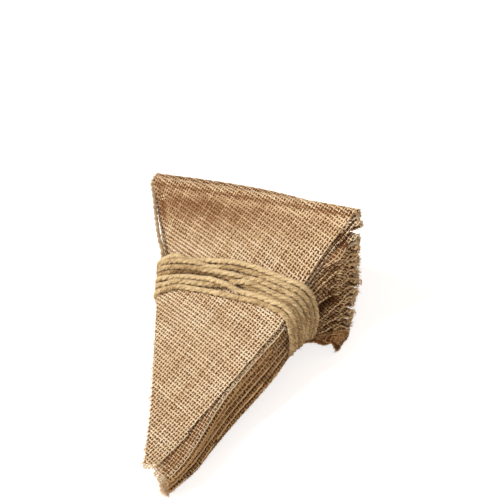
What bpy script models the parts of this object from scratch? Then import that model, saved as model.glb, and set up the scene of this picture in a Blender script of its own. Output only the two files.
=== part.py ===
"""Fabric bunting, stacked and tied.

Thirteen triangular burlap flags on one jute string, laid flag over flag in a stack and bound round the
middle with the same twine. Flag 1 is on top. The hems face +Y, the tips face -Y, the floor is z = 0.
Sizes are in millimetres in the tables and functions, and become metres when a mesh is made.
"""

import bpy
import numpy as np

MM = 0.001

FLAGS = 13
CLOTH = 1.0            # thickness of the burlap
ROLL = 2.1             # radius of the middle of the cloth where it turns round the string
STRING = 2.5           # thickness of the string inside the hems
TWINE = 2.8            # thickness of the twine that binds the stack
FLAP = 13.0            # how far the hem's flap lies under the face
FLAP_GAP = 1.36        # middle of the face to middle of the flap
PINCH_Y = -33.0        # where the binding starts, seen from the hems
AIR = 1.32             # middle of one flag to middle of the next where they are pressed together

# The tables are drawn from the top hem's middle; this brings the middle of the whole part to the origin.
SHIFT = np.array([2.63, 67.52, 0.0])

# The ends of each hem, by the middle of the string: left end x and y, right end x and y.
HEM_ENDS = [
    (-68.8, 0.9, 71.6, 0.2),
    (-76.6, 9.7, 72.3, -1.8),
    (-68.8, 1.8, 71.2, -5.4),
    (-70.0, 2.8, 70.6, -7.2),
    (-70.6, 3.8, 69.6, -9.0),
    (-72.0, 4.8, 67.0, -8.2),
    (-73.0, 5.4, 65.6, -8.8),
    (-73.8, 5.8, 64.7, -9.4),
    (-75.0, 5.6, 63.2, -11.6),
    (-76.8, 4.6, 60.8, -13.8),
    (-77.6, 3.0, 60.0, -16.5),
    (-78.4, 0.6, 58.4, -19.3),
    (-76.0, -3.6, 57.2, -33.0),
]
# How far a hem bows back from the straight line between its ends; the second one shows behind the first.
HEM_BOW = [0.6, 6.2, 1.6, 0.6, 0.0, 0.0, 0.0, 0.0, 0.0, 0.0, 0.0, 0.0, 0.0]
# The flaps are shorter where the flag below leaves less room.
FLAP_SHARE = [1.0, 0.14, 1.0, 1.0, 1.0, 1.0, 1.0, 1.0, 0.55, 0.55, 0.55, 0.55, 0.55]
HEM_TOP_Z = 71.6
HEM_LOW_Z = 2.62
# The third hem and those below it sink a little under the two that lie over them.
HEM_SINK = 0.6
# The string's tail, from the binding up the left edge to the top hem.
TAIL = [
    (-49.2, -32.6, 51.6),
    (-53.2, -28.2, 54.8),
    (-57.2, -22.6, 58.4),
    (-61.2, -16.4, 62.4),
    (-65.4, -9.6, 66.2),
    (-69.0, -4.0, 69.6),
    (-71.2, -0.6, 71.2),
]

# The pressed part of the stack, from the binding to the tips: height of the middle of the top flag and
# of the lowest flag at the stack's edge, and how much higher and lower they are along the middle.
STACK = {
    "y": [-146.0, -138.0, -131.0, -119.5, -101.0, -83.0, -70.0, -57.0, -45.0, -38.0, -30.0],
    "top": [17.5, 18.2, 19.1, 21.1, 25.7, 30.8, 34.3, 37.7, 41.0, 43.6, 47.5],
    "low": [0.5, 0.5, 0.5, 3.7, 8.9, 13.2, 16.8, 19.0, 17.9, 13.6, 7.0],
    "top_bow": [0.0, 0.0, 0.0, 0.0, 0.3, 0.8, 1.5, 2.7, 4.4, 5.4, 6.0],
    "low_bow": [0.0, 0.0, 0.0, 0.0, 0.0, -0.5, -1.2, -2.4, -2.8, -2.4, -1.6],
}
# The outline of the top flag below the binding: half width and the middle's x.
OUTLINE = {
    "y": [-150.6, -142.0, -128.0, -83.0, -55.0, -38.0, -31.0],
    "half": [0.0, 3.9, 10.2, 30.6, 43.0, 47.9, 50.2],
    "middle": [18.2, 17.1, 15.2, 9.1, 5.2, 2.4, 1.2],
}
TIP_Y = [-145.4, -146.4, -147.6, -146.2, -147.4, -148.2, -146.8, -147.6, -146.4, -147.2, -146.0, -146.8, -145.6]
TIP_DRIFT = [0.0, 11.0, 9.2, 10.2, 8.2, 7.4, 8.0, 6.0, 5.4, 4.6, 3.2, 2.4, 0.8]
EDGE_DRIFT = [0.0, 0.6, 0.2, 1.2, 0.8, 1.6, 1.2, 2.2, 2.0, 3.4, 3.0, 4.6, 4.2]
# Where a wider gap opens between two neighbours at the edges: after which flag, and its share.
OPENING = {"after": 8, "share": 0.45}


def smooth(t):
    t = np.clip(t, 0.0, 1.0)
    return t * t * (3.0 - 2.0 * t)


def curve_at(x, xs, ys):
    """A smooth curve through the table's points: cubic pieces whose slopes don't overshoot."""
    xs, ys, x = np.asarray(xs, float), np.asarray(ys, float), np.asarray(x, float)
    h = np.diff(xs)
    d = np.diff(ys) / h
    m = np.concatenate([[d[0]], (d[:-1] + d[1:]) / 2.0, [d[-1]]])
    flat = np.concatenate([[False], d[:-1] * d[1:] <= 0.0, [False]])
    m[flat] = 0.0
    i = np.clip(np.searchsorted(xs, x) - 1, 0, len(h) - 1)
    t = np.clip((x - xs[i]) / h[i], 0.0, 1.0)
    a, b = (1 + 2 * t) * (1 - t) ** 2, t * (1 - t) ** 2
    c, e = t * t * (3 - 2 * t), t * t * (t - 1)
    return a * ys[i] + b * h[i] * m[i] + c * ys[i + 1] + e * h[i] * m[i + 1]


def half_width(y):
    return curve_at(y, OUTLINE["y"], OUTLINE["half"])


def middle_x(k, y):
    drift = TIP_DRIFT[k] * smooth((-92.0 - y) / 54.0) + EDGE_DRIFT[k] * smooth((-46.0 - y) / 30.0)
    return curve_at(y, OUTLINE["y"], OUTLINE["middle"]) + drift


def layer_height(k, x, y):
    """Height of the middle of flag k in the pressed part of the stack."""
    top, low = (curve_at(y, STACK["y"], STACK[n]) for n in ("top", "low"))
    slope = (curve_at(y + 1.0, STACK["y"], STACK["top"]) - curve_at(y - 1.0, STACK["y"], STACK["top"])) / 2.0
    least = AIR * np.sqrt(1.0 + np.maximum(np.abs(slope), 0.28) ** 2 * smooth((-y - 38.0) / 4.0))
    least = np.minimum(least, (top - low) / (FLAGS - 1))
    spare = top - low - least * (FLAGS - 1)
    below = FLAGS - 1 - k
    opened = 1.0 if k < OPENING["after"] else 0.0
    share = (1.0 - OPENING["share"]) * below / (FLAGS - 1) + OPENING["share"] * opened
    bow = curve_at(y, STACK["y"], STACK["top_bow"]) * below / (FLAGS - 1)
    bow = bow + curve_at(y, STACK["y"], STACK["low_bow"]) * k / (FLAGS - 1)
    side = np.clip((x - middle_x(k, y)) / np.maximum(half_width(y), 4.0), -1.1, 1.1)
    return low + least * below + spare * share + bow * (1.0 - side**2)


def hem_line(k, a):
    """The middle of the string inside hem k, for a from -1 at the left end to 1 at the right end."""
    x0, y0, x1, y1 = HEM_ENDS[k]
    t = (a + 1.0) / 2.0
    z = HEM_TOP_Z + (HEM_LOW_Z - HEM_TOP_Z) * k / (FLAGS - 1) + 0.0 * t
    if k > 1:
        z = z - HEM_SINK * (FLAGS - 1 - k) / (FLAGS - 3)
    if k < FLAGS - 1:
        bow = HEM_BOW[k] * (1.0 - a**2) * (1.0 + 0.4 * a)
        return np.stack([x0 + (x1 - x0) * t, y0 + (y1 - y0) * t + bow, z], axis=-1)
    # The lowest hem turns toward the tips at its right end.
    turn = smooth((a - 0.62) / 0.38)
    x = x0 + (54.0 - x0) * t + (x1 - 54.0) * turn - 3.0 * turn * (1 - turn)
    y = y0 - 17.4 * t - 12.0 * turn**1.6
    return np.stack([x, y, z], axis=-1)


def flag_frame(k, a):
    """Across the hem, toward the tip: the hem's middle line, the flat direction and the start of the face."""
    e = 0.004
    line = hem_line(k, a)
    along = hem_line(k, np.minimum(a + e, 1.0)) - hem_line(k, np.maximum(a - e, -1.0))
    along = along / np.linalg.norm(along, axis=-1, keepdims=True)
    flat = np.stack([along[..., 1], -along[..., 0], 0.0 * a], axis=-1)
    return line, flat


def pinch_y(k, a):
    return PINCH_Y - 7.4 * smooth((a - 0.6) / 0.4) * smooth(k / 10.0)


def pinch_point(k, a, back=0.0):
    y = pinch_y(k, a) - back
    x = middle_x(k, y) + a * half_width(y)
    return np.stack([x, y, layer_height(k, x, y)], axis=-1)


def face_start(k, a):
    """The hem's middle line, the way out of the roll, its upward normal and the way to the binding."""
    line, flat = flag_frame(k, a)
    far = pinch_point(k, a)
    run = np.linalg.norm((far - line)[..., :2], axis=-1)
    climb = np.arctan2(far[..., 2] - line[..., 2] - ROLL, run)
    c, s = np.cos(climb)[..., None], np.sin(climb)[..., None]
    up = np.array([0.0, 0.0, 1.0])
    ahead = (far - line) * np.array([1.0, 1.0, 0.0])
    ahead = ahead / np.linalg.norm(ahead, axis=-1, keepdims=True)
    return line, flat * c + up * s, up * c - flat * s, ahead * c + up * s


def fan(k, a, t):
    """The face between the hem and the binding: a cubic from the roll to the pressed stack."""
    line, _, normal, way = face_start(k, a)
    p0 = line + ROLL * normal
    p1 = pinch_point(k, a)
    p2 = pinch_point(k, a, 1.0)
    end = (p2 - p1) / np.linalg.norm(p2 - p1, axis=-1, keepdims=True)
    reach = np.linalg.norm(p1 - p0, axis=-1, keepdims=True)
    if k == FLAGS - 1:
        # The lowest flag drops straight away from the stack at its right corner.
        end = end * (1.0 - 0.8 * smooth((a - 0.5) / 0.5))[..., None]
        way = way * (1.0 - 0.5 * smooth((a - 0.5) / 0.5))[..., None]
    t = np.asarray(t)[..., None]
    return (
        (1 + 2 * t) * (1 - t) ** 2 * p0
        + t * (1 - t) ** 2 * reach * way
        + t * t * (3 - 2 * t) * p1
        + t * t * (t - 1) * reach * end
    )


def flag_rows(k, a, turns, flap, fan_rows, press_rows):
    """All rows of flag k from the end of the flap to the tip, as an array of rows by columns by 3."""
    line, way, normal, _ = face_start(k, a)
    rows = []
    for d in flap:
        d = 4.4 + (d - 4.4) * FLAP_SHARE[k]
        t = np.minimum(d / np.linalg.norm(pinch_point(k, a) - line, axis=-1), d / 14.0)
        p, q = fan(k, a, t), fan(k, a, t + 0.01)
        along = (q - p) / np.linalg.norm(q - p, axis=-1, keepdims=True)
        across = np.gradient(p, axis=0)
        across = across / np.linalg.norm(across, axis=-1, keepdims=True)
        up = np.cross(across, along)
        up = up / np.linalg.norm(up, axis=-1, keepdims=True)
        up = up * np.sign(up[..., 2:3])
        rows.append(p - FLAP_GAP * up)
    for f in turns:
        rows.append(line + ROLL * (normal * np.cos(f) - way * np.sin(f)))
    for t in fan_rows:
        rows.append(fan(k, a, t + 0.0 * a))
    for t in press_rows:
        y = pinch_y(k, a) + (TIP_Y[k] - pinch_y(k, a)) * t
        x = middle_x(k, y) + a * np.maximum(half_width(y), 1.6)
        rows.append(np.stack([x, y, layer_height(k, x, y)], axis=-1))
    return np.array(rows)


TURNS = np.radians([222, 192, 162, 132, 102, 72, 42, 14])
FLAP_ROWS = [FLAP, 8.5, 4.4]
FAN_ROWS = [0.14, 0.4, 0.66, 0.85, 1.0]
PRESS_ROWS = [0.06, 0.13, 0.21, 0.32, 0.46, 0.62, 0.78, 0.88, 1.0]
COLUMNS = np.array([-1.0, -0.72, -0.38, 0.0, 0.38, 0.72, 1.0])
LOW_COLUMNS = np.array([-1.0, -0.66, -0.25, 0.2, 0.55, 0.7, 0.8, 0.9, 1.0])


def flag_grid(k):
    return flag_rows(k, LOW_COLUMNS if k >= FLAGS - 2 else COLUMNS, TURNS, FLAP_ROWS, FAN_ROWS, PRESS_ROWS)


def string_path():
    """The middle of the string: the tail by the left edge, then hem after hem with a loop at each turn."""
    points = list(TAIL)
    for k in range(FLAGS):
        a = np.array([-0.99, 0.99])
        if HEM_BOW[k] > 0.0:
            a = np.array([-0.99, *COLUMNS[1:-1], 0.99])
        if k == FLAGS - 1:
            a = np.array([-0.99, *LOW_COLUMNS[1:]])
        if k % 2:
            a = a[::-1]
        run = hem_line(k, a)
        if k == FLAGS - 1:
            run = np.vstack([run, run[-1] + (run[-1] - run[-2]) * 0.5])
        points += [tuple(p) for p in run]
        if k < FLAGS - 1:
            side = 1.0 if k % 2 == 0 else -1.0
            p = hem_line(k, np.array([side]))[0]
            q = hem_line(k + 1, np.array([side]))[0]
            out = np.array([side, 0.0, 0.0])
            for t, reach in ((0.1, 1.9), (0.5, 2.7), (0.9, 1.9)):
                points.append(tuple(p + (q - p) * t + out * reach))
    return np.array(points)




def band_place(side, level, q):
    """A place on the inside of the binding and its outward direction.

    side runs from -1 at the left edge to 1 at the right, level is 1 on top and -1 below, and values
    between are on the upright parts; q runs from the hem side, 0, to the tip side, 1.
    """
    right = smooth(side)
    arch = 1.0 - np.clip(abs(side), 0.0, 1.0) ** 2
    # The turns spread toward the hems at the right side and lie closer under the stack.
    start = -37.0 + 4.6 * right * smooth((level + 0.9) / 1.2) - 3.4 * smooth(-level) + 1.6 * arch * smooth(level)
    stop = -57.8 - 0.6 * right + 5.4 * arch * smooth(level) + 2.0 * arch * smooth(-level)
    y = start + (stop - start) * q
    spread = smooth((-46.0 - y) / 30.0)
    left_x = middle_x(0, y) - half_width(y)
    right_x = middle_x(0, y) + half_width(y) + max(EDGE_DRIFT) * spread
    x = left_x + (right_x - left_x) * (side + 1.0) / 2.0
    room = CLOTH / 2 + 0.45
    top = max(layer_height(0, x, y), layer_height(0, right_x if side > 0 else left_x, y)) + room
    low = min(layer_height(FLAGS - 1, x, y), layer_height(FLAGS - 1, right_x if side > 0 else left_x, y)) - room - 0.35
    edge = smooth((abs(side) - 0.9) / 0.1)
    x = x + np.sign(side) * 0.6 * edge
    z = (top + low) / 2 + (top - low) / 2 * np.clip(level, -1.0, 1.0)
    way = np.array([np.sign(side) * edge * (1.0 - 0.42 * abs(level) ** 4), 0.0, np.sign(level) * abs(level) ** 2])
    return np.array([x, y, z]), way / np.linalg.norm(way)


def band_mesh():
    """The binding as one closed body: its ridges are the turns of twine, its inside follows the stack."""
    turns = 7
    outer = []
    for j in range(turns):
        outer += [(j + 0.1, 0.6), (j + 0.5, 1.0), (j + 0.9, 0.6)]
    profile = [(q / turns, r * TWINE) for q, r in outer]
    inner = [(1.0, 0.0), (0.5, 0.0), (0.0, 0.0)]
    tops = [-1.0, -0.94, -0.8, -0.55, -0.28, 0.0, 0.28, 0.55, 0.8, 0.94, 1.0]
    walls = [0.75, 0.25, -0.25, -0.75]
    stations = [(v, 1.0) for v in tops] + [(1.0, v) for v in walls]
    stations += [(v, -1.0) for v in tops[::-1]] + [(-1.0, v) for v in walls[::-1]]
    rings = []
    for side, level in stations:
        ring = []
        for q, lift in profile + inner:
            place, way = band_place(side, level, q)
            ring.append(place + way * lift)
        rings.append(ring)
    return np.array(rings)


def material(name, colour, rough):
    m = bpy.data.materials.new(name)
    m.use_nodes = True
    bsdf = m.node_tree.nodes["Principled BSDF"]
    bsdf.inputs["Base Color"].default_value = (*colour, 1.0)
    bsdf.inputs["Roughness"].default_value = rough
    return m


def put(name, points, faces, mat):
    mesh = bpy.data.meshes.new(name)
    mesh.from_pydata([tuple((np.array(p) + SHIFT) * MM) for p in points], [], faces)
    mesh.update()
    mesh.materials.append(mat)
    o = bpy.data.objects.new(name, mesh)
    bpy.context.scene.collection.objects.link(o)
    return o


def make_flag(k, mat):
    grid = flag_grid(k)
    rows, cols = grid.shape[:2]
    faces = [
        (r * cols + c, r * cols + c + 1, (r + 1) * cols + c + 1, (r + 1) * cols + c)
        for r in range(rows - 1)
        for c in range(cols - 1)
    ]
    o = put(f"flag_{k + 1:02d}", grid.reshape(-1, 3), faces, mat)
    s = o.modifiers.new("cloth", "SOLIDIFY")
    s.thickness = CLOTH * MM
    s.offset = 0.0
    s.use_even_offset = True
    return o


def make_band(mat):
    rings = band_mesh()
    n, m = rings.shape[:2]
    faces = [
        (i * m + j, i * m + (j + 1) % m, ((i + 1) % n) * m + (j + 1) % m, ((i + 1) % n) * m + j)
        for i in range(n)
        for j in range(m)
    ]
    return put("twine_binding", rings.reshape(-1, 3), faces, mat)


def make_string(mat):
    path = (string_path() + SHIFT) * MM
    data = bpy.data.curves.new("string", "CURVE")
    data.dimensions = "3D"
    spline = data.splines.new("POLY")
    spline.points.add(len(path) - 1)
    for point, place in zip(spline.points, path):
        point.co = (*place, 1.0)
    data.bevel_depth = STRING / 2 * MM
    data.bevel_resolution = 2
    data.use_fill_caps = True
    data.materials.append(mat)
    o = bpy.data.objects.new("string", data)
    bpy.context.scene.collection.objects.link(o)
    return o


def main():
    for o in list(bpy.context.scene.objects):
        bpy.data.objects.remove(o)
    burlap = material("burlap", (0.61, 0.43, 0.24), 0.95)
    twine = material("jute_twine", (0.5, 0.38, 0.2), 0.9)
    for k in range(FLAGS):
        make_flag(k, burlap)
    make_band(twine)
    make_string(twine)


if __name__ == "__main__":
    main()
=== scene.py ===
"""Fabric bunting, stacked and tied: the looks.

Thirteen triangular burlap flags on one jute string, laid flag over flag and bound round the middle with
the same twine. The cloth is woven here yarn by yarn on the same surfaces as the solids. Sizes are in
millimetres in the tables and functions, and become metres when a mesh is made.
"""

import bpy
import numpy as np
from mathutils import Matrix


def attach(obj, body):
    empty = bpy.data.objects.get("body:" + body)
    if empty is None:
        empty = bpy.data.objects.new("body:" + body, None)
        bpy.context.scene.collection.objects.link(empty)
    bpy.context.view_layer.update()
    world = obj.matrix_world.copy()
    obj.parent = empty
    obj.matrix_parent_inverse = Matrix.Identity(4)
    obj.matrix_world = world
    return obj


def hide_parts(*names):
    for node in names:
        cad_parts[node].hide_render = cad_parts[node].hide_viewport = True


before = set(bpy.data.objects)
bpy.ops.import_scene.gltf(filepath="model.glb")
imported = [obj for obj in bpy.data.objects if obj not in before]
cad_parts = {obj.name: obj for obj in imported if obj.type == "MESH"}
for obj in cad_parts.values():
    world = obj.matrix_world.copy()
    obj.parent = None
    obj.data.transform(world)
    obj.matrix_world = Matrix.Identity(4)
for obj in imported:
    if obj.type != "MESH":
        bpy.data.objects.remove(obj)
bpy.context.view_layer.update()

MM = 0.001

FLAGS = 13
CLOTH = 1.0            # thickness of the burlap
ROLL = 2.1             # radius of the middle of the cloth where it turns round the string
STRING = 2.5           # thickness of the string inside the hems
TWINE = 2.8            # thickness of the twine that binds the stack
FLAP = 13.0            # how far the hem's flap lies under the face
FLAP_GAP = 1.36        # middle of the face to middle of the flap
PINCH_Y = -33.0        # where the binding starts, seen from the hems
AIR = 1.32             # middle of one flag to middle of the next where they are pressed together

# The tables are drawn from the top hem's middle; this brings the middle of the whole part to the origin.
SHIFT = np.array([2.63, 67.52, 0.0])

# The ends of each hem, by the middle of the string: left end x and y, right end x and y.
HEM_ENDS = [
    (-68.8, 0.9, 71.6, 0.2),
    (-76.6, 9.7, 72.3, -1.8),
    (-68.8, 1.8, 71.2, -5.4),
    (-70.0, 2.8, 70.6, -7.2),
    (-70.6, 3.8, 69.6, -9.0),
    (-72.0, 4.8, 67.0, -8.2),
    (-73.0, 5.4, 65.6, -8.8),
    (-73.8, 5.8, 64.7, -9.4),
    (-75.0, 5.6, 63.2, -11.6),
    (-76.8, 4.6, 60.8, -13.8),
    (-77.6, 3.0, 60.0, -16.5),
    (-78.4, 0.6, 58.4, -19.3),
    (-76.0, -3.6, 57.2, -33.0),
]
# How far a hem bows back from the straight line between its ends; the second one shows behind the first.
HEM_BOW = [0.6, 6.2, 1.6, 0.6, 0.0, 0.0, 0.0, 0.0, 0.0, 0.0, 0.0, 0.0, 0.0]
# The flaps are shorter where the flag below leaves less room.
FLAP_SHARE = [1.0, 0.14, 1.0, 1.0, 1.0, 1.0, 1.0, 1.0, 0.55, 0.55, 0.55, 0.55, 0.55]
HEM_TOP_Z = 71.6
HEM_LOW_Z = 2.62
# The third hem and those below it sink a little under the two that lie over them.
HEM_SINK = 0.6

# The pressed part of the stack, from the binding to the tips: height of the middle of the top flag and
# of the lowest flag at the stack's edge, and how much higher and lower they are along the middle.
STACK = {
    "y": [-146.0, -138.0, -131.0, -119.5, -101.0, -83.0, -70.0, -57.0, -45.0, -38.0, -30.0],
    "top": [17.5, 18.2, 19.1, 21.1, 25.7, 30.8, 34.3, 37.7, 41.0, 43.6, 47.5],
    "low": [0.5, 0.5, 0.5, 3.7, 8.9, 13.2, 16.8, 19.0, 17.9, 13.6, 7.0],
    "top_bow": [0.0, 0.0, 0.0, 0.0, 0.3, 0.8, 1.5, 2.7, 4.4, 5.4, 6.0],
    "low_bow": [0.0, 0.0, 0.0, 0.0, 0.0, -0.5, -1.2, -2.4, -2.8, -2.4, -1.6],
}
# The outline of the top flag below the binding: half width and the middle's x.
OUTLINE = {
    "y": [-150.6, -142.0, -128.0, -83.0, -55.0, -38.0, -31.0],
    "half": [0.0, 3.9, 10.2, 30.6, 43.0, 47.9, 50.2],
    "middle": [18.2, 17.1, 15.2, 9.1, 5.2, 2.4, 1.2],
}
# Where each flag's tip ends, and how far its tip and its edges stand to the right of the top flag's.
TIP_Y = [
    -145.4, -146.4, -147.6, -146.2, -147.4, -148.2, -146.8, -147.6, -146.4, -147.2, -146.0, -146.8, -145.6,
]
TIP_DRIFT = [0.0, 11.0, 9.2, 10.2, 8.2, 7.4, 8.0, 6.0, 5.4, 4.6, 3.2, 2.4, 0.8]
EDGE_DRIFT = [0.0, 0.6, 0.2, 1.2, 0.8, 1.6, 1.2, 2.2, 2.0, 3.4, 3.0, 4.6, 4.2]
# Where a wider gap opens between two neighbours at the edges: after which flag, and its share.
OPENING = {"after": 8, "share": 0.45}


def smooth(t):
    """0 below 0, 1 above 1, and an even S between."""
    t = np.clip(t, 0.0, 1.0)
    return t * t * (3.0 - 2.0 * t)


def unit(v):
    """The directions v, each with the length 1."""
    return v / np.linalg.norm(v, axis=-1, keepdims=True)


def bell(x, middle, width):
    """exp(-((x - middle) / width) squared): 1 at the middle, small beyond twice the width."""
    return np.exp(-(((x - middle) / width) ** 2))


def curve_at(x, xs, ys):
    """A smooth curve through the table's points: cubic pieces whose slopes don't overshoot."""
    xs, ys, x = np.asarray(xs, float), np.asarray(ys, float), np.asarray(x, float)
    h = np.diff(xs)
    d = np.diff(ys) / h
    m = np.concatenate([[d[0]], (d[:-1] + d[1:]) / 2.0, [d[-1]]])
    flat = np.concatenate([[False], d[:-1] * d[1:] <= 0.0, [False]])
    m[flat] = 0.0
    i = np.clip(np.searchsorted(xs, x) - 1, 0, len(h) - 1)
    t = np.clip((x - xs[i]) / h[i], 0.0, 1.0)
    a, b = (1 + 2 * t) * (1 - t) ** 2, t * (1 - t) ** 2
    c, e = t * t * (3 - 2 * t), t * t * (t - 1)
    return a * ys[i] + b * h[i] * m[i] + c * ys[i + 1] + e * h[i] * m[i + 1]


def half_width(y):
    return curve_at(y, OUTLINE["y"], OUTLINE["half"])


def middle_x(k, y):
    drift = TIP_DRIFT[k] * smooth((-92.0 - y) / 54.0) + EDGE_DRIFT[k] * smooth((-46.0 - y) / 30.0)
    return curve_at(y, OUTLINE["y"], OUTLINE["middle"]) + drift


def layer_height(k, x, y):
    """Height of the middle of flag k in the pressed part of the stack."""
    top, low = (curve_at(y, STACK["y"], STACK[n]) for n in ("top", "low"))
    slope = (curve_at(y + 1.0, STACK["y"], STACK["top"]) - curve_at(y - 1.0, STACK["y"], STACK["top"])) / 2.0
    least = AIR * np.sqrt(1.0 + np.maximum(np.abs(slope), 0.28) ** 2 * smooth((-y - 38.0) / 4.0))
    least = np.minimum(least, (top - low) / (FLAGS - 1))
    spare = top - low - least * (FLAGS - 1)
    below = FLAGS - 1 - k
    opened = 1.0 if k < OPENING["after"] else 0.0
    share = (1.0 - OPENING["share"]) * below / (FLAGS - 1) + OPENING["share"] * opened
    bow = curve_at(y, STACK["y"], STACK["top_bow"]) * below / (FLAGS - 1)
    bow = bow + curve_at(y, STACK["y"], STACK["low_bow"]) * k / (FLAGS - 1)
    side = np.clip((x - middle_x(k, y)) / np.maximum(half_width(y), 4.0), -1.1, 1.1)
    return low + least * below + spare * share + bow * (1.0 - side**2)


def hem_line(k, a):
    """The middle of the string inside hem k, for a from -1 at the left end to 1 at the right end."""
    x0, y0, x1, y1 = HEM_ENDS[k]
    t = (a + 1.0) / 2.0
    z = HEM_TOP_Z + (HEM_LOW_Z - HEM_TOP_Z) * k / (FLAGS - 1) + 0.0 * t
    if k > 1:
        z = z - HEM_SINK * (FLAGS - 1 - k) / (FLAGS - 3)
    if k < FLAGS - 1:
        bow = HEM_BOW[k] * (1.0 - a**2) * (1.0 + 0.4 * a)
        return np.stack([x0 + (x1 - x0) * t, y0 + (y1 - y0) * t + bow, z], axis=-1)
    # The lowest hem turns toward the tips at its right end.
    turn = smooth((a - 0.62) / 0.38)
    x = x0 + (54.0 - x0) * t + (x1 - 54.0) * turn - 3.0 * turn * (1 - turn)
    y = y0 - 17.4 * t - 12.0 * turn**1.6
    return np.stack([x, y, z], axis=-1)


def flag_frame(k, a):
    """The hem's middle line, and the level direction square to it toward the tip."""
    e = 0.004
    line = hem_line(k, a)
    along = unit(hem_line(k, np.minimum(a + e, 1.0)) - hem_line(k, np.maximum(a - e, -1.0)))
    flat = np.stack([along[..., 1], -along[..., 0], 0.0 * a], axis=-1)
    return line, flat


def pinch_y(k, a):
    return PINCH_Y - 7.4 * smooth((a - 0.6) / 0.4) * smooth(k / 10.0)


def pinch_point(k, a, back=0.0):
    y = pinch_y(k, a) - back
    x = middle_x(k, y) + a * half_width(y)
    return np.stack([x, y, layer_height(k, x, y)], axis=-1)


def face_start(k, a):
    """The hem's middle line, the way out of the roll, its upward normal and the way to the binding."""
    line, flat = flag_frame(k, a)
    far = pinch_point(k, a)
    run = np.linalg.norm((far - line)[..., :2], axis=-1)
    climb = np.arctan2(far[..., 2] - line[..., 2] - ROLL, run)
    c, s = np.cos(climb)[..., None], np.sin(climb)[..., None]
    up = np.array([0.0, 0.0, 1.0])
    ahead = unit((far - line) * np.array([1.0, 1.0, 0.0]))
    return line, flat * c + up * s, up * c - flat * s, ahead * c + up * s


def fan(k, a, t):
    """The face between the hem and the binding: a cubic from the roll to the pressed stack."""
    line, _, normal, way = face_start(k, a)
    p0 = line + ROLL * normal
    p1 = pinch_point(k, a)
    p2 = pinch_point(k, a, 1.0)
    end = unit(p2 - p1)
    reach = np.linalg.norm(p1 - p0, axis=-1, keepdims=True)
    if k == FLAGS - 1:
        # The lowest flag drops straight away from the stack at its right corner.
        end = end * (1.0 - 0.8 * smooth((a - 0.5) / 0.5))[..., None]
        way = way * (1.0 - 0.5 * smooth((a - 0.5) / 0.5))[..., None]
    t = np.asarray(t)[..., None]
    return (
        (1 + 2 * t) * (1 - t) ** 2 * p0
        + t * (1 - t) ** 2 * reach * way
        + t * t * (3 - 2 * t) * p1
        + t * t * (t - 1) * reach * end
    )


def flag_rows(k, a, turns, flap, fan_rows, press_rows):
    """All rows of flag k from the end of the flap to the tip, as an array of rows by columns by 3."""
    line, way, normal, _ = face_start(k, a)
    rows = []
    for d in flap:
        d = 4.4 + (d - 4.4) * FLAP_SHARE[k]
        t = np.minimum(d / np.linalg.norm(pinch_point(k, a) - line, axis=-1), d / 14.0)
        p, q = fan(k, a, t), fan(k, a, t + 0.01)
        along = unit(q - p)
        across = unit(np.gradient(p, axis=0))
        up = unit(np.cross(across, along))
        up = up * np.sign(up[..., 2:3])
        rows.append(p - FLAP_GAP * up)
    for f in turns:
        rows.append(line + ROLL * (normal * np.cos(f) - way * np.sin(f)))
    for t in fan_rows:
        rows.append(fan(k, a, t + 0.0 * a))
    for t in press_rows:
        y = pinch_y(k, a) + (TIP_Y[k] - pinch_y(k, a)) * t
        x = middle_x(k, y) + a * np.maximum(half_width(y), 1.6)
        rows.append(np.stack([x, y, layer_height(k, x, y)], axis=-1))
    return np.array(rows)


# The weave: distance from one yarn to the next, and the yarn's half width, half height and rise.
PITCH = 1.85
YARN_WIDE = 0.465
YARN_HIGH = 0.34
YARN_RISE = 0.27
# The thin sheet between the yarns.
GROUND_THICK = 0.36

# Camera: where it stands, in the tables' millimetres, and the directions right, up and back toward it.
CAMERA_PLACE = (401.2, -368.4, 427.5)
CAMERA_RIGHT = (0.779, 0.5466, -0.308)
CAMERA_UP = (-0.1522, 0.6409, 0.7524)
CAMERA_BACK = (0.608, -0.540, 0.583)
CAMERA_LENS = 86.4

# Half the floor's side, the even sky's brightness, and the lamps: name, direction toward it, strength
# and spread in degrees.
FLOOR_HALF = 3000
SKY = 0.36
LAMPS = [
    ("key", (-0.38, -0.40, 0.83), 3.2, 20.0),
    ("front", (0.6, -0.6, 0.5), 0.55, 50.0),
]


def waves(x, seed, count, octaves=3, longest=60.0):
    """Slow uneven wandering for many strands at once: a sum of sines of x, each strand with its own
    random phases, octave n having n times the frequency and 1/n the height."""
    rng = np.random.default_rng(seed)
    total = 0.0
    for n in range(1, octaves + 1):
        phase = rng.uniform(0.0, 2.0 * np.pi, (count, 1))
        rate = rng.uniform(0.75, 1.3, (count, 1)) * n * 2.0 * np.pi / longest
        total = total + np.sin(x * rate + phase) / n
    return total / 1.6


def outer_normals(grid):
    """The outer normal at each place of a surface grid of rows by columns."""
    return unit(np.cross(np.gradient(grid, axis=0), np.gradient(grid, axis=1)))


def row_half(grid):
    """Half the length of each row of a surface grid, as a column."""
    return np.linalg.norm(np.diff(grid, axis=1), axis=-1).sum(1)[:, None] / 2.0


# Yarns across the cloth that lie on the hem's roll and flap, before the first one of the face.
BEFORE_HEM = 24
# How far each flag's yarns reach past its edge, on the right side below the binding and on the left at
# the tip.
WALL_EXTRA = [0.0, 1.1, 0.4, 1.8, 0.4, 1.1, 0.0, 1.2, 0.0, 1.0, 0.3, 0.0, 0.0]
TIP_LEFT = [0.0, 5.0, 4.0, 3.0, 2.0, 1.5, 1.0, 0.8, 0.5, 0.5, 0.5, 0.5, 0.5]
# How much lighter or darker each flag is than the rest.
LAYER_TONE = [0.0, -0.4, 0.2, -0.4, 0.5, -0.2, 0.3, -0.5, 0.4, -0.3, 0.4, -0.3, 0.0]


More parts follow.
